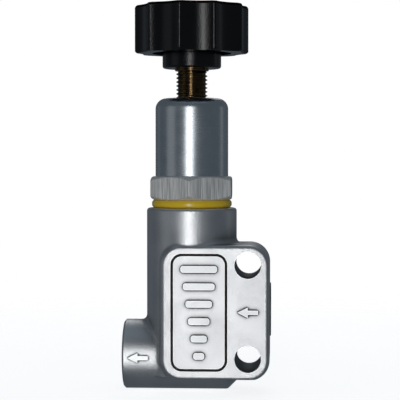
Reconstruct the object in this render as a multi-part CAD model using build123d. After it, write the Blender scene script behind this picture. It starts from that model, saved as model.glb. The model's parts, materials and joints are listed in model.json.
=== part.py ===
from build123d import *
import math
import os

# Adjustable brake-line valve with a lobed knob, in millimetres.
# Frame: origin midway between the two mounting holes, on the rear mounting face.
# +X points to the inlet side, +Y out of the mounting face, +Z along the barrel to the knob.

# --- main axis, shared by the barrel, bonnet, spring and knob ---
AXIS_X = -18.2
AXIS_Y = -7.2

# --- cast body ---
BARREL_R = 14.35
BARREL_TOP = 32.0
BARREL_TOP_ROUND = 1.0
BLOCK_LEFT = -27.2
BLOCK_RIGHT = 6.8
BLOCK_TOP = 20.8
BLOCK_BOTTOM = -21.35             # as cast, before the foot is cut flat
BLOCK_THICKNESS = 22.0
BLOCK_CORNER_R = 6.4              # round the mounting holes
BLOCK_EDGE_ROUND = 1.3
CAST_FILLET = 1.8
FOOT_Z = -21.05                   # flat underside shared by the barrel and the block
FOOT_ROUND = 0.5
MOUNT_HOLE_R = 4.15
MOUNT_HOLE_SPACING = 29.2
BOSS_R = 11.05
BOSS_END = -39.7
BOSS_Z = -14.9
BOSS_CHAMFER = 0.6
KEEL_END = -3.6                   # the outlet boss runs on under the barrel to here
KEEL_END_TAPER = 3.0
KEEL_END_ROUND = 1.5
KEEL_COVE = 2.0

# --- relief on the front face ---
GROOVE_LEFT = -24.0
GROOVE_RIGHT = -6.3
GROOVE_BOTTOM = -18.5
GROOVE_TOP = 18.2
GROOVE_WIDTH = 0.85
GROOVE_DEPTH = 0.8
GROOVE_CORNER_R = 3.5
RELIEF_HEIGHT = 0.5
BAR_COUNT = 6
BAR_PITCH = 5.4
BAR_HEIGHT = 2.1
BAR_SHORTEST = 3.4
BAR_GROWTH = 1.6                  # each bar is this much longer than the one below it
BAR_CORNER_R = 0.8
ARROW_LENGTH = 6.4
ARROW_HEAD = 3.2
ARROW_SHAFT = 1.3
OUTLET_ARROW_X = -34.6

# --- ports: 3/8-24 inverted-flare, at the thread's major radius ---
PORT_R = 4.76
PORT_MOUTH_R = 5.3
INLET_Y = -11.0
INLET_THREAD_DEPTH = 10.2
INLET_PAD_R = 8.4
INLET_PAD_HEIGHT = 0.35
OUTLET_THREAD_DEPTH = 9.2
THREAD_RELIEF_R = 4.3             # the thread's minor radius, round the seat's nose
FLARE_SEAT_R = 3.4
FLARE_SEAT_LENGTH = 3.0
FLARE_NOSE_LENGTH = 1.8
FLARE_NOSE_R = 1.9
PASSAGE_R = 1.5

# --- stepped main bore ---
THREAD_BORE_R = 10.0
THREAD_BORE_BOTTOM = 22.0
BUSH_BORE_R = 9.0
BUSH_BORE_BOTTOM = 14.0
INLET_CHAMBER_R = 7.0
INLET_CHAMBER_BOTTOM = -6.0
OUTLET_CHAMBER_R = 5.0
OUTLET_CHAMBER_BOTTOM = -21.0

# --- bonnet ---
RING_R = 12.75
RING_HEIGHT = 2.6
RING_ROUND = 1.1
HEX_ACROSS_FLATS = 25.4
HEX_HEIGHT = 7.4
HEX_FACE_R = 12.3                 # where the 30 degree chamfer starts on the hexagon's ends
BONNET_R = 11.6
BONNET_TOP = 66.8
BONNET_SHOULDER_ROUND = 3.4
SPRING_BORE_R = 7.75
SPRING_BORE_TOP = 61.0

# --- adjuster: M10 x 1.25 screw, 6.5 turns of travel ---
SCREW_R = 5.0
SCREW_TIP = 57.5
SCREW_TOP = 92.0
SCREW_COLLAR_R = 5.4
SCREW_COLLAR_HEIGHT = 0.8
STOP_RING_R = 6.3
STOP_RING_BOTTOM = 59.5
STOP_RING_TOP = 60.5
STOP_GROOVE_R = 4.2
BALL_R = 2.5
BALL_Z = 56.5

# --- knob ---
HUB_R = 9.35
HUB_BOTTOM = 76.3
HEAD_BOTTOM = 81.1
HEAD_TOP = 96.3
HEAD_R = 18.2
LOBE_COUNT = 10
LOBE_PHASE = -99.1                # direction of one lobe, degrees from +X
FLUTE_R = 12.0
FLUTE_CENTRE_R = 28.2
LOBE_CREST_ROUND = 1.0
HEAD_TOP_ROUND = 1.2
HEAD_RIM_ROUND = 0.6              # along the scalloped top edge
HEAD_BOTTOM_ROUND = 1.0
HUB_EDGE_ROUND = 0.8
RECESS_R = 12.6
RECESS_DEPTH = 9.5
TOP_DISH_R = 8.5
TOP_DISH_DEPTH = 0.7

# --- spring, seats and piston ---
SPRING_BOTTOM = 24.05
SPRING_TOP = 52.0
SPRING_WIRE_R = 1.1
SPRING_MEAN_R = 5.9
SPRING_TURNS = 6.5
SEAT_BOSS_R = 4.6
UPPER_SEAT_R = 7.68
UPPER_SEAT_TOP = 55.5
LOWER_SEAT_R = 7.3
LOWER_SEAT_BOTTOM = 22.05
STEM_R = 4.0
STEM_BOTTOM = -1.0
NECK_R = 2.6
HEAD_PISTON_R = 4.6
HEAD_PISTON_TOP = -10.0
HEAD_PISTON_BOTTOM = -18.5
PISTON_SPIGOT_R = 3.0
PISTON_TOP = 26.5

# --- small clearances ---
FIT_GAP = 0.02                    # pieces pressed or screwed into the same body
RUN_GAP = 0.05                    # sliding and turning fits

# --- piston guide, seals and inlet sleeve ---
ROD_SEAL_R = 6.2
ROD_SEAL_BOTTOM = 15.0
ROD_SEAL_TOP = 17.0
O_RING_WIRE_R = 0.85
O_RING_Z = 18.8
SLEEVE_INNER_R = 5.4
SLEEVE_BOTTOM = -3.0
SLEEVE_PORT_R = 2.0
SLEEVE_PORT_COUNT = 4
POPPET_SEAL_BORE_R = 3.1
POPPET_SEAL_NOSE_R = 4.85
POPPET_SEAL_NOSE = -8.6


def turned(*section):
    """Solid of revolution about Z; section is its (radius, height) corners."""
    corners = [(radius, 0, height) for radius, height in section]
    return revolve(make_face(Polyline(*corners, close=True)), Axis.Z)


def rod(radius, bottom, top):
    return turned((0, bottom), (radius, bottom), (radius, top), (0, top))


def tube(outer_r, inner_r, bottom, top):
    return turned((inner_r, bottom), (outer_r, bottom), (outer_r, top), (inner_r, top))


def on_axis(shape):
    """Place a shape made about Z on the main axis."""
    return Pos(AXIS_X, AXIS_Y, 0) * shape


def along_x(shape, y, z):
    """Lay a shape made about Z along X, its heights becoming X positions."""
    return Pos(0, y, z) * Rot(0, 90, 0) * shape


def seam_edges(joined, *pieces):
    """Edges where the pieces of a union meet, which none of the pieces had."""
    known = [edge for piece in pieces for edge in piece.edges()]
    seams = []
    for edge in joined.edges():
        middle = Vertex(edge @ 0.5)
        if all(other.distance_to(middle) > 1e-4 for other in known):
            seams.append(edge)
    return seams


def barrel_with_boss():
    """Barrel and outlet boss blended together; the barrel is long here and cut off later."""
    barrel = on_axis(rod(BARREL_R, BOSS_Z - 2 * BOSS_R, BARREL_TOP))
    boss = rod(BOSS_R, BOSS_END, AXIS_X)
    boss = chamfer(boss.edges().group_by(Axis.Z)[0], BOSS_CHAMFER)
    boss = along_x(boss, AXIS_Y, BOSS_Z)
    shape = barrel + boss
    shape = fillet(seam_edges(shape, barrel, boss), CAST_FILLET)
    return fillet(shape.edges().group_by(Axis.Z)[-1], BARREL_TOP_ROUND)


def flange_block():
    outline = RectangleRounded(BLOCK_RIGHT - BLOCK_LEFT, BLOCK_TOP - BLOCK_BOTTOM, BLOCK_CORNER_R)
    centre = ((BLOCK_LEFT + BLOCK_RIGHT) / 2, (BLOCK_TOP + BLOCK_BOTTOM) / 2)
    outline = Pos(*centre) * outline
    block = extrude(Plane.XZ * outline, BLOCK_THICKNESS)
    front = block.faces().sort_by(Axis.Y)[0]
    return fillet(front.edges(), BLOCK_EDGE_ROUND)


def keel():
    """The whole outlet boss, from its mouth to its tapered end under the barrel."""
    shape = rod(BOSS_R, BOSS_END, KEEL_END)
    shape = chamfer(shape.edges().group_by(Axis.Z)[0], BOSS_CHAMFER)
    shape = chamfer(shape.edges().group_by(Axis.Z)[-1], KEEL_END_TAPER)
    taper_edges = shape.edges().filter_by(GeomType.CIRCLE).sort_by(Axis.Z)[-2:]
    return along_x(fillet(taper_edges, KEEL_END_ROUND), AXIS_Y, BOSS_Z)


def keel_cove():
    """Concave fillet between the keel's flat end and the block's underside."""
    corner = Box(KEEL_COVE, 2 * BOSS_R, KEEL_COVE, align=(Align.MIN, Align.CENTER, Align.MAX))
    hollow = Pos(KEEL_COVE, 0, -KEEL_COVE) * Rot(90, 0, 0) * Cylinder(KEEL_COVE, 2 * BOSS_R)
    cove = Pos(KEEL_END, AXIS_Y, FOOT_Z) * (corner - hollow)
    flat_end = rod(BOSS_R - KEEL_END_TAPER - 1, KEEL_END, KEEL_END + KEEL_COVE)
    return cove & along_x(flat_end, AXIS_Y, BOSS_Z)


def casting():
    """Barrel, boss and block with cast fillets everywhere but along the mounting face."""
    barrel = barrel_with_boss()
    block = flange_block()
    shape = barrel + block
    seams = [edge for edge in seam_edges(shape, barrel, block) if (edge @ 0.5).Y < -0.1]
    shape = fillet(seams, CAST_FILLET)
    below = Box(9 * BOSS_R, 9 * BOSS_R, 4 * BOSS_R, align=(Align.CENTER, Align.CENTER, Align.MAX))
    shape -= Pos(0, 0, FOOT_Z) * below
    shape = fillet(shape.faces().sort_by(Axis.Z)[0].edges(), FOOT_ROUND)
    return shape + keel() + keel_cove()


def inlet_pad():
    return along_x(rod(INLET_PAD_R, BLOCK_RIGHT - 1, BLOCK_RIGHT + INLET_PAD_HEIGHT), INLET_Y, 0)


def arrow_outline():
    """Arrow pointing to -X, centred on the origin."""
    tip = -ARROW_LENGTH / 2
    neck = tip + ARROW_HEAD
    half_head = ARROW_HEAD / 2
    half_shaft = ARROW_SHAFT / 2
    tail = ARROW_LENGTH / 2
    return make_face(Polyline((tip, 0), (neck, half_head), (neck, half_shaft), (tail, half_shaft),
                              (tail, -half_shaft), (neck, -half_shaft), (neck, -half_head),
                              close=True))


def front_panel_groove():
    width = GROOVE_RIGHT - GROOVE_LEFT
    height = GROOVE_TOP - GROOVE_BOTTOM
    inner_r = GROOVE_CORNER_R - GROOVE_WIDTH
    ring = RectangleRounded(width, height, GROOVE_CORNER_R)
    ring -= RectangleRounded(width - 2 * GROOVE_WIDTH, height - 2 * GROOVE_WIDTH, inner_r)
    centre = ((GROOVE_LEFT + GROOVE_RIGHT) / 2, (GROOVE_BOTTOM + GROOVE_TOP) / 2)
    front = Plane.XZ.offset(BLOCK_THICKNESS - GROOVE_DEPTH)
    return extrude(front * Pos(*centre) * ring, 2 * GROOVE_DEPTH)


def front_bars():
    """Raised level bars on the front panel, longer towards the top."""
    front = Plane.XZ.offset(BLOCK_THICKNESS - RELIEF_HEIGHT)
    centre_x = (GROOVE_LEFT + GROOVE_RIGHT) / 2
    centre_z = (GROOVE_BOTTOM + GROOVE_TOP) / 2
    bars = []
    for step in range(BAR_COUNT):
        length = BAR_SHORTEST + BAR_GROWTH * step
        height = centre_z + (step - (BAR_COUNT - 1) / 2) * BAR_PITCH
        outline = Pos(centre_x, height) * RectangleRounded(length, BAR_HEIGHT, BAR_CORNER_R)
        bars.append(extrude(front * outline, 2 * RELIEF_HEIGHT))
    return bars


def inlet_arrow():
    front = Plane.XZ.offset(BLOCK_THICKNESS - RELIEF_HEIGHT)
    return extrude(front * arrow_outline(), 2 * RELIEF_HEIGHT)


def outlet_arrow():
    prism = extrude(Plane.XZ * Pos(OUTLET_ARROW_X, BOSS_Z) * arrow_outline(), 2 * BOSS_R)
    skin = along_x(tube(BOSS_R + RELIEF_HEIGHT, BOSS_R - RELIEF_HEIGHT, BOSS_END, AXIS_X),
                   AXIS_Y, BOSS_Z)
    return prism & skin


def port_cut(mouth, inward, depth, chamber_r):
    """Threaded port, nose relief, seat pocket and passage as one cut along X; inward is 1 or -1."""
    lead = mouth + inward * (PORT_MOUTH_R - PORT_R)
    thread_end = mouth + inward * depth
    relief_end = thread_end + inward * FLARE_NOSE_LENGTH
    pocket_end = relief_end + inward * FLARE_SEAT_LENGTH
    chamber = AXIS_X - inward * (chamber_r - 1)
    return turned((0, mouth - inward), (PORT_MOUTH_R, mouth - inward), (PORT_MOUTH_R, mouth),
                  (PORT_R, lead), (PORT_R, thread_end), (THREAD_RELIEF_R, thread_end),
                  (THREAD_RELIEF_R, relief_end), (FLARE_SEAT_R, relief_end),
                  (FLARE_SEAT_R, pocket_end), (PASSAGE_R, pocket_end), (PASSAGE_R, chamber),
                  (0, chamber))


def main_bore():
    top = BARREL_TOP + 1
    return on_axis(turned(
        (0, OUTLET_CHAMBER_BOTTOM), (OUTLET_CHAMBER_R, OUTLET_CHAMBER_BOTTOM),
        (OUTLET_CHAMBER_R, INLET_CHAMBER_BOTTOM), (INLET_CHAMBER_R, INLET_CHAMBER_BOTTOM),
        (INLET_CHAMBER_R, BUSH_BORE_BOTTOM), (BUSH_BORE_R, BUSH_BORE_BOTTOM),
        (BUSH_BORE_R, THREAD_BORE_BOTTOM), (THREAD_BORE_R, THREAD_BORE_BOTTOM),
        (THREAD_BORE_R, top), (0, top)))


def mounting_holes():
    holes = []
    for side in (-1, 1):
        hole = rod(MOUNT_HOLE_R, -1, BLOCK_THICKNESS + 1)
        holes.append(Pos(0, 0, side * MOUNT_HOLE_SPACING / 2) * Rot(90, 0, 0) * hole)
    return holes


def valve_body():
    body = casting() + inlet_pad()
    body -= front_panel_groove()
    for relief in front_bars() + [inlet_arrow(), outlet_arrow()]:
        body += relief
    body -= main_bore()
    for hole in mounting_holes():
        body -= hole
    inlet = port_cut(BLOCK_RIGHT + INLET_PAD_HEIGHT, -1, INLET_THREAD_DEPTH, INLET_CHAMBER_R)
    body -= along_x(inlet, INLET_Y, 0)
    outlet = port_cut(BOSS_END, 1, OUTLET_THREAD_DEPTH, OUTLET_CHAMBER_R)
    body -= along_x(outlet, AXIS_Y, BOSS_Z)
    return body


def flare_seat():
    """Brass cone seat pressed into the bottom of a port, nose towards +Z."""
    outer = FLARE_SEAT_R - FIT_GAP
    nose = FLARE_SEAT_LENGTH + FLARE_NOSE_LENGTH
    return turned((PASSAGE_R, 0), (outer, 0), (outer, FLARE_SEAT_LENGTH),
                  (FLARE_NOSE_R, nose), (PASSAGE_R, nose))


def inlet_flare_seat():
    nose = BLOCK_RIGHT + INLET_PAD_HEIGHT - INLET_THREAD_DEPTH
    start = nose - FLARE_NOSE_LENGTH - FLARE_SEAT_LENGTH
    return along_x(Pos(0, 0, start) * flare_seat(), INLET_Y, 0)


def outlet_flare_seat():
    nose = BOSS_END + OUTLET_THREAD_DEPTH
    start = nose + FLARE_NOSE_LENGTH + FLARE_SEAT_LENGTH
    return along_x(Pos(0, 0, start) * Rot(180, 0, 0) * flare_seat(), AXIS_Y, BOSS_Z)


def bonnet_seal_ring():
    inner = THREAD_BORE_R + FIT_GAP
    ring = tube(RING_R, inner, BARREL_TOP, BARREL_TOP + RING_HEIGHT)
    outer_edges = ring.edges().filter_by(GeomType.CIRCLE).sort_by(SortBy.RADIUS)[-2:]
    return on_axis(fillet(outer_edges, RING_ROUND))


def bonnet_hexagon(bottom, top):
    corner_r = HEX_ACROSS_FLATS / 2 / math.cos(math.radians(30))
    drop = (corner_r - HEX_FACE_R) * math.tan(math.radians(30))
    outline = RegularPolygon(HEX_ACROSS_FLATS / 2, 6, major_radius=False, rotation=30)
    prism = Pos(0, 0, bottom) * extrude(outline, top - bottom)
    envelope = turned((0, bottom), (HEX_FACE_R, bottom), (corner_r, bottom + drop),
                      (corner_r, top - drop), (HEX_FACE_R, top), (0, top))
    return prism & envelope


def bonnet():
    hex_bottom = BARREL_TOP + RING_HEIGHT
    hex_top = hex_bottom + HEX_HEIGHT
    cap = rod(BONNET_R, hex_top - 1, BONNET_TOP)
    cap = fillet(cap.edges().group_by(Axis.Z)[-1], BONNET_SHOULDER_ROUND)
    shape = bonnet_hexagon(hex_bottom, hex_top) + cap
    shape += rod(THREAD_BORE_R - FIT_GAP, THREAD_BORE_BOTTOM, hex_bottom + 1)
    shape -= rod(SPRING_BORE_R, THREAD_BORE_BOTTOM - 1, SPRING_BORE_TOP)
    screw_bore_r = SCREW_R + RUN_GAP
    shape -= turned((0, SPRING_BORE_TOP - 1), (screw_bore_r, SPRING_BORE_TOP - 1),
                    (screw_bore_r, BONNET_TOP - 0.5), (screw_bore_r + 1, BONNET_TOP + 0.5),
                    (0, BONNET_TOP + 0.5))
    return on_axis(shape)


def adjusting_screw():
    collar_bottom = HUB_BOTTOM - SCREW_COLLAR_HEIGHT
    shape = turned(
        (0, SCREW_TIP), (SCREW_R - 1, SCREW_TIP), (SCREW_R - 0.6, STOP_RING_BOTTOM - FIT_GAP),
        (STOP_GROOVE_R, STOP_RING_BOTTOM - FIT_GAP), (STOP_GROOVE_R, STOP_RING_TOP + FIT_GAP),
        (SCREW_R, STOP_RING_TOP + FIT_GAP), (SCREW_R, collar_bottom),
        (SCREW_COLLAR_R, collar_bottom), (SCREW_COLLAR_R, HUB_BOTTOM), (SCREW_R, HUB_BOTTOM),
        (SCREW_R, SCREW_TOP), (0, SCREW_TOP))
    shape -= Pos(0, 0, BALL_Z) * Sphere(BALL_R + RUN_GAP)
    return on_axis(shape)


def screw_retaining_ring():
    ring = tube(STOP_RING_R, STOP_GROOVE_R + FIT_GAP, STOP_RING_BOTTOM, STOP_RING_TOP)
    ring -= Box(2 * STOP_RING_R, 2.4, 4 * BALL_Z, align=(Align.MIN, Align.CENTER, Align.MIN))
    return on_axis(ring)


def knob_outline():
    """Wide flutes that meet in crests, which are then rounded."""
    outline = Circle(HEAD_R + LOBE_CREST_ROUND)
    for lobe in range(LOBE_COUNT):
        angle = math.radians(LOBE_PHASE + (lobe + 0.5) * 360 / LOBE_COUNT)
        centre = (FLUTE_CENTRE_R * math.cos(angle), FLUTE_CENTRE_R * math.sin(angle))
        outline -= Pos(*centre) * Circle(FLUTE_R)
    return fillet(outline.vertices(), LOBE_CREST_ROUND)


def adjusting_knob():
    head = Pos(0, 0, HEAD_BOTTOM) * extrude(knob_outline(), HEAD_TOP - HEAD_BOTTOM)
    envelope = rod(HEAD_R, HEAD_BOTTOM, HEAD_TOP)
    envelope = fillet(envelope.edges().group_by(Axis.Z)[-1], HEAD_TOP_ROUND)
    envelope = fillet(envelope.edges().group_by(Axis.Z)[0], HEAD_BOTTOM_ROUND)
    head = head & envelope
    head = fillet(head.faces().sort_by(Axis.Z)[-1].edges(), HEAD_RIM_ROUND)
    head -= tube(RECESS_R, HUB_R, HEAD_BOTTOM - 1, HEAD_BOTTOM + RECESS_DEPTH)
    head -= rod(TOP_DISH_R, HEAD_TOP - TOP_DISH_DEPTH, HEAD_TOP + 1)
    hub = rod(HUB_R, HUB_BOTTOM, HEAD_BOTTOM + RECESS_DEPTH)
    knob = head + fillet(hub.edges().group_by(Axis.Z)[0], HUB_EDGE_ROUND)
    knob -= rod(SCREW_R + FIT_GAP, HUB_BOTTOM - 1, SCREW_TOP + FIT_GAP)
    return on_axis(knob)


def thrust_ball():
    return on_axis(Pos(0, 0, BALL_Z) * Sphere(BALL_R))


def upper_spring_seat():
    seat = rod(UPPER_SEAT_R, SPRING_TOP, UPPER_SEAT_TOP)
    seat += rod(SEAT_BOSS_R, SPRING_TOP - 2.5, SPRING_TOP)
    seat -= Pos(0, 0, BALL_Z) * Sphere(BALL_R + RUN_GAP)
    return on_axis(seat)


def lower_spring_seat():
    seat = rod(LOWER_SEAT_R, LOWER_SEAT_BOTTOM, SPRING_BOTTOM)
    seat += rod(SEAT_BOSS_R, SPRING_BOTTOM, PISTON_TOP + 0.5)
    seat -= rod(PISTON_SPIGOT_R + FIT_GAP, LOWER_SEAT_BOTTOM - 1, PISTON_TOP + 1)
    return on_axis(seat)


def main_spring():
    first_z = SPRING_BOTTOM + SPRING_WIRE_R
    rise = SPRING_TOP - SPRING_BOTTOM - 2 * SPRING_WIRE_R
    path = Helix(pitch=rise / SPRING_TURNS, height=rise, radius=SPRING_MEAN_R)
    section = Plane(origin=path @ 0, z_dir=path % 0) * Circle(SPRING_WIRE_R)
    coil = sweep(section, path=path, is_frenet=True)
    return on_axis(Pos(0, 0, first_z) * coil)


def metering_piston():
    spigot_bottom = LOWER_SEAT_BOTTOM
    return on_axis(turned(
        (0, HEAD_PISTON_BOTTOM), (HEAD_PISTON_R - 0.6, HEAD_PISTON_BOTTOM),
        (HEAD_PISTON_R, HEAD_PISTON_BOTTOM + 0.6), (HEAD_PISTON_R, HEAD_PISTON_TOP),
        (NECK_R, HEAD_PISTON_TOP), (NECK_R, STEM_BOTTOM - 1.4), (STEM_R, STEM_BOTTOM),
        (STEM_R, spigot_bottom), (PISTON_SPIGOT_R, spigot_bottom),
        (PISTON_SPIGOT_R, PISTON_TOP), (0, PISTON_TOP)))


def guide_bush():
    outer = BUSH_BORE_R - FIT_GAP
    groove_r = BUSH_BORE_R - 2 * O_RING_WIRE_R
    groove_half = O_RING_WIRE_R + 0.2
    bore_r = STEM_R + RUN_GAP
    return on_axis(turned(
        (ROD_SEAL_R, BUSH_BORE_BOTTOM), (outer, BUSH_BORE_BOTTOM),
        (outer, O_RING_Z - groove_half), (groove_r, O_RING_Z - groove_half),
        (groove_r, O_RING_Z + groove_half), (outer, O_RING_Z + groove_half),
        (outer, THREAD_BORE_BOTTOM), (bore_r, THREAD_BORE_BOTTOM),
        (bore_r, ROD_SEAL_TOP), (ROD_SEAL_R, ROD_SEAL_TOP)))


def guide_bush_o_ring():
    ring = Torus(BUSH_BORE_R - O_RING_WIRE_R, O_RING_WIRE_R - FIT_GAP)
    return on_axis(Pos(0, 0, O_RING_Z) * ring)


def piston_rod_seal():
    return on_axis(tube(ROD_SEAL_R - FIT_GAP, STEM_R + RUN_GAP, ROD_SEAL_BOTTOM, ROD_SEAL_TOP))


def rod_seal_washer():
    return on_axis(tube(ROD_SEAL_R - FIT_GAP, STEM_R + 0.1, BUSH_BORE_BOTTOM, ROD_SEAL_BOTTOM))


def inlet_spacer_sleeve():
    sleeve = tube(INLET_CHAMBER_R - FIT_GAP, SLEEVE_INNER_R, SLEEVE_BOTTOM, BUSH_BORE_BOTTOM)
    for port in range(SLEEVE_PORT_COUNT):
        hole = Rot(0, 0, port * 360 / SLEEVE_PORT_COUNT) * along_x(rod(SLEEVE_PORT_R, 0, 10), 0, 0)
        sleeve -= hole
    return on_axis(sleeve)


def poppet_seal():
    outer = INLET_CHAMBER_R - FIT_GAP
    return on_axis(turned(
        (POPPET_SEAL_BORE_R, POPPET_SEAL_NOSE), (POPPET_SEAL_NOSE_R, POPPET_SEAL_NOSE),
        (POPPET_SEAL_NOSE_R, INLET_CHAMBER_BOTTOM), (outer, INLET_CHAMBER_BOTTOM),
        (outer, SLEEVE_BOTTOM), (POPPET_SEAL_BORE_R, SLEEVE_BOTTOM)))


PARTS = [
    valve_body, bonnet_seal_ring, bonnet, adjusting_screw, adjusting_knob,
    screw_retaining_ring, thrust_ball, upper_spring_seat, main_spring, lower_spring_seat,
    metering_piston, guide_bush, guide_bush_o_ring, piston_rod_seal, rod_seal_washer,
    inlet_spacer_sleeve, poppet_seal, inlet_flare_seat, outlet_flare_seat,
]

os.makedirs("parts", exist_ok=True)
for part in PARTS:
    export_step(part(), f"parts/{part.__name__}.step")
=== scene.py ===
import bpy
import bmesh
import json
import math

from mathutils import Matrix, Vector


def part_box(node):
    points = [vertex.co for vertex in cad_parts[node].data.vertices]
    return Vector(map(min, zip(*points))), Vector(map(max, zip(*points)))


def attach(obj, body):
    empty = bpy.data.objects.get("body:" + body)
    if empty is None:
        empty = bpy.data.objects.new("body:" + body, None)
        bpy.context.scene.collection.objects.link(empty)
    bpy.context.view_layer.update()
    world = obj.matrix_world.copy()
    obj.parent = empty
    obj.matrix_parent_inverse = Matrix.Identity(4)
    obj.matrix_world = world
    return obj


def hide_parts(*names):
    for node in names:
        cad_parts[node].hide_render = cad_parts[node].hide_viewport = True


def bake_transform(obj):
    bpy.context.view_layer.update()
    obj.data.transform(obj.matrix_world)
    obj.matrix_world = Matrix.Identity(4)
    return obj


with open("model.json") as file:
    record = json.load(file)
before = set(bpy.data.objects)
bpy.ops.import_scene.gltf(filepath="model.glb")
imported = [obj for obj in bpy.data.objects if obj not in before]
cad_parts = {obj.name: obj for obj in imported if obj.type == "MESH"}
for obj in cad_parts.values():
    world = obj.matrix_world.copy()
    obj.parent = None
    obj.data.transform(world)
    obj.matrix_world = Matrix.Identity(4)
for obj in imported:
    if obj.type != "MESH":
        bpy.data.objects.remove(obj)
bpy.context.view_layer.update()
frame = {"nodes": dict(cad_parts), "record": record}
MM = 0.001

# --- places read from the frame, in metres ---
BONNET_LOW, BONNET_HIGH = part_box("bonnet")
BODY_LOW, BODY_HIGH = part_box("valve_body")
SCREW_LOW, SCREW_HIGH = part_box("adjusting_screw")
KNOB_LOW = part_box("adjusting_knob")[0]
SPRING_LOW, SPRING_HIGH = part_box("main_spring")
AXIS_X = (BONNET_LOW[0] + BONNET_HIGH[0]) / 2
AXIS_Y = (BONNET_LOW[1] + BONNET_HIGH[1]) / 2
FLOOR_Z = BODY_LOW[2]

# --- sizes of the detailed pieces, in metres, and how finely they are divided ---
ROUND_STEPS = 96
MERGE_DISTANCE = 1e-7
SHORTEST_EDGE = 1e-8
SCREW_PITCH = 1.25 * MM
SCREW_MAJOR_R = 4.98 * MM
SCREW_MINOR_R = 4.42 * MM
SCREW_COLLAR_R = 5.4 * MM
SCREW_COLLAR_HEIGHT = 0.8 * MM
STOP_RING_TOP = 60.55 * MM
STOP_RING_BOTTOM = 59.45 * MM
STOP_GROOVE_R = 4.2 * MM
SCREW_TIP_R = 3.9 * MM
SCREW_TIP_CHAMFER = 0.9 * MM
TIP_CENTRE_DEPTH = 1.5 * MM
TIP_CENTRE_FLAT_R = 1.0 * MM
TIP_CENTRE_FLAT_DEPTH = 1.3 * MM
TIP_CENTRE_R = 2.3 * MM
COLLAR_BREAK = 0.15 * MM
SHANK_CHAMFER = 0.5 * MM
PORT_PITCH = 25.4 / 24 * MM
PORT_ROOT_R = 4.76 * MM
PORT_CREST_R = 4.2 * MM
PORT_THREAD_LENGTH = 8.4 * MM
PORT_THREAD_BACK = 0.15 * MM
PORT_LEAD = 0.55 * MM
RELIEF_HEIGHT = 0.5 * MM
SPRING_WIRE_R = 1.1 * MM
SPRING_MEAN_R = 5.9 * MM
SPRING_TURNS = 6.5
SPRING_CLOSED_TURNS = 0.9
SPRING_CLOSED_RISE = 2.04 * SPRING_WIRE_R
SPRING_GROUND_HEIGHT = 0.55 * SPRING_WIRE_R
SPRING_MEETING = 4.7 * MM
SPRING_SIDES = 14
SPRING_STEPS_PER_TURN = 48

# --- heights between which one finish gives way to the next ---
HEXAGON_FINISH_END = 41.8 * MM
CAP_FINISH_START = 42.2 * MM
CAP_TOP_START = 66.5 * MM
CAP_TOP_FULL = 66.75 * MM
KNOB_TOP_START = 95.3 * MM
KNOB_TOP_FULL = 95.55 * MM

# --- floor and surround; the ceiling's start and end are heights on a unit sphere ---
FLOOR_RADIUS = 0.9
FLOOR_GAP = 0.02 * MM
FLOOR_FADE_START = 0.06
FLOOR_FADE_END = 0.30
FLOOR_GLOW = 0.80
WALL_COLOUR = (0.80, 0.95, 1.10)
WALL_STRENGTH = 0.10
CEILING_START = 0.75
CEILING_FULL = 0.95
CEILING_STRENGTH = 0.22

# --- camera and lights: aims are measured from the valve's axis and the mounting holes ---
CAMERA_AZIMUTH = 3.2
CAMERA_DISTANCE = 0.451
CAMERA_RISE = 0.0134
CAMERA_LENS = 127.0
CAMERA_SENSOR = 36.0
AIM_X = 0.0026
AIM_Z = 0.0344
LIGHT_AIM_Z = 0.035


# ---------- materials ----------

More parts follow.
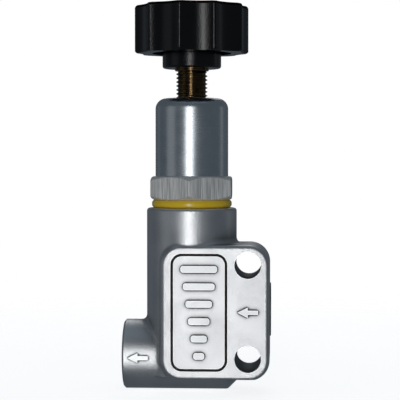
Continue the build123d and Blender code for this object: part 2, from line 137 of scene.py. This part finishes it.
class Look:
    """A material being built: its Principled shader, and short helpers that add nodes to it."""

    def __init__(self, name, **uniform):
        self.material = bpy.data.materials.new(name)
        self.material.use_nodes = True
        self.tree = self.material.node_tree
        self.shader = self.tree.nodes["Principled BSDF"]
        for socket, value in uniform.items():
            self.shader.inputs[socket.replace("_", " ")].default_value = value
        self.coords = self.add("TexCoord").outputs["Object"]

    def add(self, kind, **inputs):
        made = self.tree.nodes.new("ShaderNode" + kind)
        for socket, value in inputs.items():
            made.inputs[socket.replace("_", " ")].default_value = value
        return made

    def link(self, output, target, socket):
        self.tree.links.new(output, target.inputs[socket])

    def noise(self, size, detail=2.0, stretch=(1, 1, 1)):
        """Noise with features about size metres across, longer along an axis by its stretch."""
        mapping = self.add("Mapping")
        mapping.inputs["Scale"].default_value = [1 / (size * longer) for longer in stretch]
        self.link(self.coords, mapping, "Vector")
        texture = self.add("TexNoise", Scale=1.0, Detail=detail)
        self.link(mapping.outputs["Vector"], texture, "Vector")
        return texture.outputs["Fac"]

    def span(self, value, low, high, start=0.3, end=0.7):
        """Value from start to end mapped onto low to high, and clamped."""
        ranged = self.add("MapRange", From_Min=start, From_Max=end, To_Min=low, To_Max=high)
        self.link(value, ranged, "Value")
        return ranged.outputs["Result"]

    def math(self, operation, first, second):
        made = self.add("Math")
        made.operation = operation
        for index, operand in enumerate((first, second)):
            if isinstance(operand, (int, float)):
                made.inputs[index].default_value = operand
            else:
                self.tree.links.new(operand, made.inputs[index])
        return made.outputs["Value"]

    def axis(self, name):
        """One coordinate of the object's own frame, in metres."""
        split = self.add("SeparateXYZ")
        self.link(self.coords, split, "Vector")
        return split.outputs[name]

    def mix(self, factor, first, second):
        """Colour between first and second; either is a colour or another mix."""
        made = self.add("Mix")
        made.data_type = "RGBA"
        sockets = [s for s in made.inputs if s.type == "RGBA"]
        for socket, colour in zip(sockets, (first, second)):
            if isinstance(colour, tuple):
                socket.default_value = (*colour, 1.0)
            else:
                self.tree.links.new(colour, socket)
        self.tree.links.new(factor, made.inputs[0])
        return next(s for s in made.outputs if s.type == "RGBA")

    def recess(self, distance, full=0.35):
        """1 in corners and grooves narrower than about distance, 0 on open surfaces."""
        occlusion = self.add("AmbientOcclusion", Distance=distance)
        occlusion.samples = 8
        occlusion.only_local = True
        return self.span(occlusion.outputs["AO"], 1.0, 0.0, full, 0.9)

    def edge(self, radius):
        """1 on sharp edges, 0 on open surfaces."""
        bevel = self.add("Bevel", Radius=radius)
        bevel.samples = 4
        geometry = self.add("NewGeometry")
        product = self.add("VectorMath")
        product.operation = "DOT_PRODUCT"
        self.tree.links.new(bevel.outputs["Normal"], product.inputs[0])
        self.tree.links.new(geometry.outputs["Normal"], product.inputs[1])
        return self.span(product.outputs["Value"], 1.0, 0.0, 0.75, 0.995)

    def colour(self, output):
        self.link(output, self.shader, "Base Color")

    def roughness(self, output):
        self.link(output, self.shader, "Roughness")

    def rounded(self, radius):
        """Normals that turn smoothly over sharp edges, as if they were broken by this radius."""
        bevel = self.add("Bevel", Radius=radius)
        bevel.samples = 8
        return bevel.outputs["Normal"]

    def bump(self, *layers, normal=None):
        """Bump from (height, distance in metres) layers over a normal, the first one lowest."""
        for height, distance in layers:
            made = self.add("Bump", Strength=1.0, Distance=distance)
            self.link(height, made, "Height")
            if normal is not None:
                self.link(normal, made, "Normal")
            normal = made.outputs["Normal"]
        self.link(normal, self.shader, "Normal")


def cast_aluminium():
    """Blasted casting: brighter front face and marks, from a painted highlight and edge wear along
    their edges; darker where the casting closes in, from painted shade.
    """
    look = Look("cast_aluminium", Metallic=1.0)
    cloud = look.noise(9 * MM, 3.0)
    grain = look.noise(0.22 * MM, 3.0)
    speck = look.noise(0.6 * MM, 2.0)
    depth = look.math("SUBTRACT", look.axis("Y"), BODY_LOW[1] + RELIEF_HEIGHT)
    face = look.span(depth, 1.0, 0.0, 0.1 * MM, 0.5 * MM)
    below_face = look.math("MULTIPLY", look.span(depth, 0.0, 1.0, 0.1 * MM, 0.25 * MM),
                           look.span(depth, 1.0, 0.0, 1.0 * MM, 1.2 * MM))
    base = look.mix(look.span(cloud, 0.0, 1.0), (0.67, 0.68, 0.69), (0.75, 0.76, 0.77))
    base = look.mix(look.span(speck, 0.0, 0.5, 0.5, 0.8), base, (0.62, 0.63, 0.65))
    base = look.mix(look.math("MULTIPLY", face, 0.8), base, (0.51, 0.515, 0.525))
    # Edges of the front face and its marks near white: a painted highlight, partly edge wear.
    base = look.mix(look.math("MULTIPLY", face, look.edge(0.35 * MM)), base, (0.90, 0.90, 0.91))
    # Painted shade: near black inside the holes and where the casting closes in.
    painted_hollow_shade = look.math("MULTIPLY", look.recess(9 * MM, 0.55), 0.96)
    base = look.mix(painted_hollow_shade, base, (0.02, 0.022, 0.025))
    # Painted shade: near black in narrow creases of the casting.
    base = look.mix(look.recess(1.0 * MM, 0.72), base, (0.03, 0.03, 0.034))
    # Painted shadow: dark outlines round the raised marks on the front face.
    painted_mark_shadow = look.math("MULTIPLY", face, look.recess(1.6 * MM, 0.80))
    base = look.mix(painted_mark_shadow, base, (0.02, 0.02, 0.022))
    # Painted shade: near black in the groove just below the front face.
    groove = look.math("MULTIPLY", below_face, look.recess(1.0 * MM, 0.6))
    base = look.mix(groove, base, (0.015, 0.015, 0.015))
    look.colour(base)
    rough = look.span(cloud, 0.34, 0.40)
    look.roughness(look.math("ADD", rough, look.span(speck, 0.0, 0.05)))
    wave = look.noise(4 * MM, 2.0)
    look.bump((wave, 0.04 * MM), (speck, 0.024 * MM), (grain, 0.016 * MM))
    return look.material


def bonnet_steel():
    """Turned round cap above drawn hexagon flats, told apart by height."""
    look = Look("bonnet_steel", Metallic=1.0)
    rings = look.noise(0.16 * MM, 2.0, (60, 60, 1))
    lines = look.noise(0.26 * MM, 3.0, (1, 1, 40))
    smear = look.noise(5 * MM, 3.0)
    fine = look.noise(0.3 * MM, 2.0)
    below_cap = look.span(look.axis("Z"), 1.0, 0.0, HEXAGON_FINISH_END, CAP_FINISH_START)
    on_cap = look.math("SUBTRACT", 1.0, below_cap)
    turned = look.mix(look.span(smear, 0.0, 1.0), (0.61, 0.66, 0.69), (0.68, 0.72, 0.75))
    turned = look.mix(look.span(rings, 0.0, 0.3), turned, (0.72, 0.75, 0.78))
    drawn = look.mix(look.span(lines, 0.0, 1.0, 0.40, 0.62), (0.56, 0.56, 0.55), (1.0, 0.99, 0.96))
    base = look.mix(below_cap, turned, drawn)
    look.link(look.span(below_cap, 1.0, 0.30, 0.0, 1.0), look.shader, "Metallic")
    # Painted highlight: sharp corners and edges of the bonnet lightened to near white; the same
    # mask also makes them smoother.
    painted_corner_highlight = look.edge(0.4 * MM)
    base = look.mix(painted_corner_highlight, base, (0.98, 0.98, 0.98))
    look.colour(base)
    turned_rough = look.math("ADD", look.span(smear, 0.22, 0.27), look.span(rings, 0.0, 0.03))
    drawn_rough = look.span(lines, 0.52, 0.68)
    drawn_rough = look.math("MULTIPLY", drawn_rough, look.span(painted_corner_highlight, 1.0, 0.4, 0.1, 0.5))
    flats = look.math("MULTIPLY", below_cap, drawn_rough)
    cap_top = look.span(look.axis("Z"), 0.0, 0.4, CAP_TOP_START, CAP_TOP_FULL)
    turned_rough = look.math("ADD", turned_rough, cap_top)
    cap = look.math("MULTIPLY", on_cap, turned_rough)
    look.roughness(look.math("ADD", flats, cap))
    ring_height = look.math("MULTIPLY", on_cap, rings)
    line_height = look.math("MULTIPLY", below_cap, lines)
    height = look.math("ADD", look.math("MULTIPLY", ring_height, 0.19), line_height)
    look.bump((height, 0.005 * MM), (fine, 0.0005 * MM), normal=look.rounded(0.4 * MM))
    return look.material


def yellow_seal():
    look = Look("yellow_seal", Metallic=0.0, Specular_IOR_Level=0.7, Subsurface_Weight=0.08,
                Subsurface_Scale=1 * MM)
    cloud = look.noise(3 * MM, 3.0)
    fine = look.noise(0.25 * MM, 2.0)
    base = look.mix(look.span(cloud, 0.0, 1.0), (1.00, 0.64, 0.02), (1.00, 0.72, 0.03))
    # Painted shade: darker where the ring closes in on itself.
    base = look.mix(look.recess(0.4 * MM, 0.2), base, (0.42, 0.24, 0.01))
    look.colour(base)
    look.roughness(look.span(cloud, 0.16, 0.24))
    look.bump((cloud, 0.03 * MM), (fine, 0.004 * MM))
    return look.material


def screw_brass():
    look = Look("screw_brass", Metallic=1.0)
    patina = look.noise(1.6 * MM, 4.0)
    fine = look.noise(0.15 * MM, 2.0, (6, 6, 1))
    base = look.mix(look.span(patina, 0.0, 1.0), (0.022, 0.012, 0.004), (0.15, 0.086, 0.034))
    # Painted highlight: thread crests and edges lightened to bright gold.
    base = look.mix(look.edge(0.12 * MM), base, (0.85, 0.62, 0.36))
    # Painted shade: near black in the thread roots and corners.
    base = look.mix(look.recess(0.6 * MM), base, (0.02, 0.012, 0.006))
    look.colour(base)
    look.roughness(look.span(patina, 0.10, 0.20))
    look.bump((patina, 0.01 * MM), (fine, 0.004 * MM))
    return look.material


def knob_plastic():
    """Semi-gloss moulding with a matt top."""
    look = Look("knob_plastic", Metallic=0.0)
    cloud = look.noise(6 * MM, 3.0)
    spark = look.noise(0.45 * MM, 3.0)
    fine = look.noise(0.16 * MM, 2.0)
    base = look.mix(look.span(cloud, 0.0, 1.0), (0.0008, 0.0008, 0.001), (0.002, 0.002, 0.0025))
    # Painted highlight: sharp edges of the knob a little lighter.
    base = look.mix(look.edge(0.4 * MM), base, (0.006, 0.006, 0.007))
    look.colour(base)
    top = look.span(look.axis("Z"), 0.0, 1.0, KNOB_TOP_START, KNOB_TOP_FULL)
    look.link(look.span(top, 0.45, 0.06, 0.0, 1.0), look.shader, "Specular IOR Level")
    rough = look.math("ADD", look.span(cloud, 0.11, 0.15), look.span(spark, 0.0, 0.05))
    look.roughness(look.math("ADD", rough, look.math("MULTIPLY", top, 0.7)))
    look.bump((cloud, 0.04 * MM), (spark, 0.045 * MM), (fine, 0.006 * MM))
    return look.material


def machined(name, dark, light, rough_low, rough_high):
    """Turned metal for the inner pieces, with fine tool rings round the valve's axis."""
    look = Look(name, Metallic=1.0)
    rings = look.noise(0.14 * MM, 2.0, (40, 40, 1))
    cloud = look.noise(2.5 * MM, 3.0)
    base = look.mix(look.span(cloud, 0.0, 1.0), dark, light)
    # Painted highlight: sharp edges lighter than the rest of the metal.
    base = look.mix(look.edge(0.2 * MM), base, tuple(min(1.0, 1.25 * c) for c in light))
    look.colour(base)
    look.roughness(look.span(rings, rough_low, rough_high))
    look.bump((cloud, 0.01 * MM), (rings, 0.006 * MM))
    return look.material


def moulded_rubber():
    look = Look("black_rubber", Metallic=0.0, Specular_IOR_Level=0.4)
    cloud = look.noise(2 * MM, 3.0)
    fine = look.noise(0.12 * MM, 3.0)
    look.colour(look.mix(look.span(cloud, 0.0, 1.0), (0.012, 0.012, 0.012), (0.03, 0.03, 0.03)))
    look.roughness(look.span(cloud, 0.48, 0.66))
    look.bump((cloud, 0.02 * MM), (fine, 0.008 * MM))
    return look.material


def make_materials():
    """One finish for each of the record's material slots."""
    return {
        "cast_aluminium": cast_aluminium(),
        "bonnet_steel": bonnet_steel(),
        "yellow_seal": yellow_seal(),
        "screw_brass": screw_brass(),
        "knob_plastic": knob_plastic(),
        "black_rubber": moulded_rubber(),
        "spring_steel": machined("spring_steel", (0.20, 0.20, 0.22), (0.40, 0.40, 0.42),
                                 0.28, 0.42),
        "hard_steel": machined("hard_steel", (0.52, 0.53, 0.55), (0.68, 0.69, 0.70), 0.10, 0.20),
        "plain_steel": machined("plain_steel", (0.40, 0.40, 0.42), (0.58, 0.58, 0.60), 0.24, 0.38),
        "inner_brass": machined("inner_brass", (0.60, 0.42, 0.17), (0.80, 0.62, 0.30), 0.18, 0.32),
    }


# ---------- meshes ----------

def mesh_object(name, vertices, faces, smooth_angle=30.0):
    """A new object from vertices and faces, merged, with outward normals and smooth shading."""
    mesh = bpy.data.meshes.new(name)
    mesh.from_pydata(vertices, [], faces)
    shape = bmesh.new()
    shape.from_mesh(mesh)
    bmesh.ops.remove_doubles(shape, verts=shape.verts, dist=MERGE_DISTANCE)
    bmesh.ops.dissolve_degenerate(shape, edges=shape.edges, dist=SHORTEST_EDGE)
    bmesh.ops.recalc_face_normals(shape, faces=shape.faces)
    shape.to_mesh(mesh)
    shape.free()
    piece = bpy.data.objects.new(name, mesh)
    bpy.context.scene.collection.objects.link(piece)
    mesh.shade_smooth()
    mesh.set_sharp_from_angle(angle=math.radians(smooth_angle))
    return piece


def lathe(section):
    """Vertices and faces of a closed (radius, height) section turned about Z."""
    vertices = []
    for step in range(ROUND_STEPS):
        angle = 2 * math.pi * step / ROUND_STEPS
        vertices += [(r * math.cos(angle), r * math.sin(angle), z) for r, z in section]
    count = len(section)
    faces = []
    for step in range(ROUND_STEPS):
        here = step * count
        there = ((step + 1) % ROUND_STEPS) * count
        for index in range(count):
            after = (index + 1) % count
            faces.append((here + index, there + index, there + after, here + after))
    return vertices, faces


def clipped_radius(radius, z, bottom, top, base_r):
    """Thread radius run out to base_r at 45 degrees towards each end."""
    reach = min(z - bottom, top - z)
    if radius > base_r:
        return min(radius, base_r + reach)
    return max(radius, base_r - reach)


def threaded(bottom, top, pitch, section, base_r, back_r):
    """Vertices and faces of a closed helical thread about Z between two heights.

    section is the (fraction of the pitch, radius) corners of one thread, base_r the radius that
    it runs out to at its ends, and back_r the plain back: 0 for a solid screw. Each column of
    vertices is the section at one angle, raised as the helix rises."""
    turns = math.ceil((top - bottom) / pitch)
    rows = []
    for turn in range(-1, turns + 1):
        rows += [(radius, bottom + (turn + part) * pitch) for part, radius in section]
    count = len(rows) + 2
    vertices = []
    for step in range(ROUND_STEPS + 1):
        angle = 2 * math.pi * step / ROUND_STEPS
        column = [(back_r, bottom)]
        for radius, height in rows:
            z = min(max(height + pitch * step / ROUND_STEPS, bottom), top)
            column.append((clipped_radius(radius, z, bottom, top, base_r), z))
        column.append((back_r, top))
        vertices += [(r * math.cos(angle), r * math.sin(angle), z) for r, z in column]
    faces = []
    closing = count if back_r > 0 else count - 1
    for step in range(ROUND_STEPS):
        here = step * count
        there = here + count
        for index in range(closing):
            after = (index + 1) % count
            faces.append((here + index, there + index, there + after, here + after))
    return vertices, faces


def thread_section(minor_r, major_r, pitch):
    """60 degree thread: root flat, flank, crest flat; the last flank closes onto the next root."""
    flank = (major_r - minor_r) * math.tan(math.radians(30)) / pitch
    crest = 0.125
    root = 1 - crest - 2 * flank
    return [(0.0, minor_r), (root, minor_r), (root + flank, major_r),
            (root + flank + crest, major_r)]


def add_shell(shells, shape):
    """Append one closed (vertices, faces) shell to a growing pair."""
    vertices, faces = shape
    offset = len(shells[0])
    shells[0].extend(vertices)
    shells[1].extend(tuple(index + offset for index in face) for face in faces)


def dress(piece, body, slot, materials):
    """Ride a new piece on its body and give it its slot's finish."""
    piece.data.materials.clear()
    piece.data.materials.append(materials[slot])
    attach(piece, body)


def make_screw(materials):
    """Adjusting screw: plain tip with its ring groove, helical thread, collar and knob shank."""
    tip = SCREW_LOW[2]
    collar_top = KNOB_LOW[2]
    collar_bottom = collar_top - SCREW_COLLAR_HEIGHT
    shank_top = SCREW_HIGH[2]
    shells = ([], [])
    add_shell(shells, lathe([
        (0, tip + TIP_CENTRE_DEPTH), (TIP_CENTRE_FLAT_R, tip + TIP_CENTRE_FLAT_DEPTH),
        (TIP_CENTRE_R, tip), (SCREW_TIP_R, tip),
        (SCREW_MAJOR_R, tip + SCREW_TIP_CHAMFER), (SCREW_MAJOR_R, STOP_RING_BOTTOM),
        (STOP_GROOVE_R, STOP_RING_BOTTOM), (STOP_GROOVE_R, STOP_RING_TOP), (0, STOP_RING_TOP)]))
    section = thread_section(SCREW_MINOR_R, SCREW_MAJOR_R, SCREW_PITCH)
    add_shell(shells, threaded(STOP_RING_TOP, collar_bottom, SCREW_PITCH, section,
                               SCREW_MINOR_R, 0))
    add_shell(shells, lathe([
        (0, collar_bottom), (SCREW_COLLAR_R - COLLAR_BREAK, collar_bottom),
        (SCREW_COLLAR_R, collar_bottom + COLLAR_BREAK), (SCREW_COLLAR_R, collar_top),
        (SCREW_MAJOR_R, collar_top), (SCREW_MAJOR_R, shank_top - SHANK_CHAMFER),
        (SCREW_MAJOR_R - SHANK_CHAMFER, shank_top), (0, shank_top)]))
    vertices = [(x + AXIS_X, y + AXIS_Y, z) for x, y, z in shells[0]]
    piece = mesh_object("adjusting_screw_threaded", vertices, shells[1])
    dress(piece, "adjuster", "screw_brass", materials)
    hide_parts("adjusting_screw")


def make_port_thread(name, mouth, centre_y, centre_z, materials):
    """Helical thread inside a port; mouth is +1 for a port that opens to +X, -1 to -X."""
    section = thread_section(PORT_ROOT_R, PORT_CREST_R, PORT_PITCH)
    vertices, faces = threaded(0, PORT_THREAD_LENGTH, PORT_PITCH, section, PORT_ROOT_R,
                               PORT_ROOT_R + PORT_THREAD_BACK)
    if mouth > 0:
        outer_x = BODY_HIGH[0] - PORT_LEAD
    else:
        outer_x = BODY_LOW[0] + PORT_LEAD
    placed = [(outer_x - mouth * z, centre_y + mouth * y, centre_z + x) for x, y, z in vertices]
    piece = mesh_object(name, placed, faces)
    dress(piece, "housing", "cast_aluminium", materials)


def spring_height(turn, low, high):
    """Height of the wire's centre after so many turns: closed end turns, open middle ones."""
    start = low + SPRING_GROUND_HEIGHT
    finish = high - SPRING_GROUND_HEIGHT
    closed_height = SPRING_CLOSED_TURNS * SPRING_CLOSED_RISE
    open_turns = SPRING_TURNS - 2 * SPRING_CLOSED_TURNS
    open_rise = (finish - start - 2 * closed_height) / open_turns
    if turn < SPRING_CLOSED_TURNS:
        return start + turn * SPRING_CLOSED_RISE
    if turn > SPRING_TURNS - SPRING_CLOSED_TURNS:
        return finish - (SPRING_TURNS - turn) * SPRING_CLOSED_RISE
    return start + closed_height + (turn - SPRING_CLOSED_TURNS) * open_rise


def spring_length(name, first, last, low, high):
    """One length of the spring's wire, between two steps round the coil, as a closed mesh."""
    vertices = []
    for step in range(first, last + 1):
        turn = step / SPRING_STEPS_PER_TURN
        angle = 2 * math.pi * turn
        centre_z = spring_height(turn, low, high)
        for side in range(SPRING_SIDES):
            around = 2 * math.pi * side / SPRING_SIDES
            r = SPRING_MEAN_R + SPRING_WIRE_R * math.cos(around)
            z = centre_z + SPRING_WIRE_R * math.sin(around)
            z = min(max(z, low), high)
            vertices.append((AXIS_X + r * math.cos(angle), AXIS_Y + r * math.sin(angle), z))
    faces = []
    for step in range(last - first):
        here = step * SPRING_SIDES
        there = here + SPRING_SIDES
        for side in range(SPRING_SIDES):
            after = (side + 1) % SPRING_SIDES
            faces.append((here + side, here + after, there + after, there + side))
    final = (last - first) * SPRING_SIDES
    faces.append(tuple(range(SPRING_SIDES)))
    faces.append(tuple(final + side for side in range(SPRING_SIDES)))
    return mesh_object(name, vertices, faces, 40.0)


def make_spring(materials):
    """Compression spring with closed and ground ends, as two lengths of one wire.

    They meet near the bottom, at a height that no joint moves."""
    low, high = SPRING_LOW[2], SPRING_HIGH[2]
    steps = int(SPRING_TURNS * SPRING_STEPS_PER_TURN)
    meeting = 0
    while spring_height(meeting / SPRING_STEPS_PER_TURN, low, high) < low + SPRING_MEETING:
        meeting += 1
    meeting_z = spring_height(meeting / SPRING_STEPS_PER_TURN, low, high)
    lower = spring_length("main_spring_lower", 0, meeting, low, high)
    upper = spring_length("main_spring_upper", meeting, steps, low, high)
    for piece, below, above, start, end in (
            (lower, "piston", "housing", low, meeting_z - SPRING_WIRE_R),
            (upper, "housing", "spring_seat", meeting_z + SPRING_WIRE_R, high)):
        piece.data.materials.append(materials["spring_steel"])
        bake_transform(piece)
        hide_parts("main_spring")


# ---------- stage, lights and camera ----------

def make_floor():
    """Round pale floor whose rim fades into the white surround."""
    bpy.ops.mesh.primitive_circle_add(vertices=128, radius=FLOOR_RADIUS, fill_type="NGON",
                                      location=(AXIS_X, AXIS_Y, FLOOR_Z - FLOOR_GAP))
    floor = bpy.context.object
    floor.name = "floor"
    look = Look("floor_paper", Specular_IOR_Level=0.1, Roughness=0.9)
    cloud = look.noise(40 * MM, 2.0)
    look.colour(look.mix(look.span(cloud, 0.0, 1.0), (0.90, 0.90, 0.90), (0.93, 0.93, 0.93)))
    length = look.add("VectorMath")
    length.operation = "LENGTH"
    look.link(look.coords, length, 0)
    rim = look.span(length.outputs["Value"], 1.0, 0.0, FLOOR_FADE_START, FLOOR_FADE_END)
    seen = look.add("LightPath").outputs["Is Camera Ray"]
    look.link(look.math("MULTIPLY", rim, seen), look.shader, "Alpha")
    look.shader.inputs["Emission Color"].default_value = (1, 1, 1, 1)
    look.shader.inputs["Emission Strength"].default_value = FLOOR_GLOW
    floor.data.materials.append(look.material)


def make_world():
    """White surround for the camera; for light, a soft bright ceiling over dim walls."""
    world = bpy.data.worlds.new("studio")
    bpy.context.scene.world = world
    world.use_nodes = True
    tree = world.node_tree
    tree.nodes.clear()
    coords = tree.nodes.new("ShaderNodeTexCoord")
    split = tree.nodes.new("ShaderNodeSeparateXYZ")
    tree.links.new(coords.outputs["Generated"], split.inputs["Vector"])
    ramp = tree.nodes.new("ShaderNodeMapRange")
    ramp.interpolation_type = "SMOOTHSTEP"
    ramp.inputs["From Min"].default_value = CEILING_START
    ramp.inputs["From Max"].default_value = CEILING_FULL
    ramp.inputs["To Min"].default_value = WALL_STRENGTH
    ramp.inputs["To Max"].default_value = CEILING_STRENGTH
    tree.links.new(split.outputs["Z"], ramp.inputs["Value"])
    light = tree.nodes.new("ShaderNodeBackground")
    light.inputs["Color"].default_value = (*WALL_COLOUR, 1)
    tree.links.new(ramp.outputs["Result"], light.inputs["Strength"])
    white = tree.nodes.new("ShaderNodeBackground")
    white.inputs["Color"].default_value = (1, 1, 1, 1)
    white.inputs["Strength"].default_value = 1.0
    path = tree.nodes.new("ShaderNodeLightPath")
    both = tree.nodes.new("ShaderNodeMixShader")
    tree.links.new(path.outputs["Is Camera Ray"], both.inputs["Fac"])
    tree.links.new(light.outputs["Background"], both.inputs[1])
    tree.links.new(white.outputs["Background"], both.inputs[2])
    out = tree.nodes.new("ShaderNodeOutputWorld")
    tree.links.new(both.outputs["Shader"], out.inputs["Surface"])


def place(azimuth, elevation, distance, aim):
    """Point at a distance from aim; azimuth 0 is in front, on -Y, and 90 on +X."""
    turn, lift = math.radians(azimuth), math.radians(elevation)
    flat = distance * math.cos(lift)
    return aim + Vector((flat * math.sin(turn), -flat * math.cos(turn), distance * math.sin(lift)))


def softbox(name, azimuth, elevation, distance, width, height, radiance):
    """Rectangular area light that looks equally bright whatever its size."""
    aim = Vector((AXIS_X, AXIS_Y, LIGHT_AIM_Z))
    data = bpy.data.lights.new(name, "AREA")
    data.shape = "RECTANGLE"
    data.size = width
    data.size_y = height
    data.energy = radiance * math.pi * width * height
    lamp = bpy.data.objects.new(name, data)
    lamp.location = place(azimuth, elevation, distance, aim)
    lamp.rotation_euler = (aim - lamp.location).to_track_quat("-Z", "Y").to_euler()
    bpy.context.scene.collection.objects.link(lamp)


def make_lights():
    softbox("key", -4, -8, 0.8, 0.40, 0.80, 0.85)
    softbox("key_centre", -4, -8, 0.79, 0.11, 0.70, 4.3)
    softbox("left_fill", -66, 0, 0.8, 0.42, 0.60, 0.15)
    softbox("right_strip", 112, 0, 0.7, 0.12, 0.40, 0.15)
    softbox("left_strip", -125, 0, 0.7, 0.10, 0.40, 0.06)
    softbox("rear", 180, 40, 0.9, 0.35, 0.50, 0.9)


def make_camera():
    aim = Vector((AXIS_X + AIM_X, AXIS_Y, AIM_Z))
    data = bpy.data.cameras.new("camera")
    data.sensor_width = CAMERA_SENSOR
    data.lens = CAMERA_LENS
    data.clip_start = 0.01
    camera = bpy.data.objects.new("camera", data)
    camera.location = place(CAMERA_AZIMUTH, 0, CAMERA_DISTANCE, aim) + Vector((0, 0, CAMERA_RISE))
    camera.rotation_euler = (aim - camera.location).to_track_quat("-Z", "Y").to_euler()
    bpy.context.scene.collection.objects.link(camera)
    bpy.context.scene.camera = camera


# ---------- assembly ----------

def finish_cad_nodes(materials):
    """Give every CAD node the finish of the record's slot for it."""
    slots = {part["node"]: part["material_slot"] for part in frame["record"]["subparts"]}
    for name, node in frame["nodes"].items():
        node.data.materials.clear()
        node.data.materials.append(materials[slots[name]])


materials = make_materials()
finish_cad_nodes(materials)
make_screw(materials)
inlet_seat_low, inlet_seat_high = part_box("inlet_flare_seat")
outlet_seat_low, outlet_seat_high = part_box("outlet_flare_seat")
make_port_thread("inlet_port_thread", 1, (inlet_seat_low[1] + inlet_seat_high[1]) / 2,
                 (inlet_seat_low[2] + inlet_seat_high[2]) / 2, materials)
make_port_thread("outlet_port_thread", -1, (outlet_seat_low[1] + outlet_seat_high[1]) / 2,
                 (outlet_seat_low[2] + outlet_seat_high[2]) / 2, materials)
make_spring(materials)
make_floor()
make_world()
make_lights()
make_camera()
bpy.context.scene.view_settings.view_transform = "Standard"
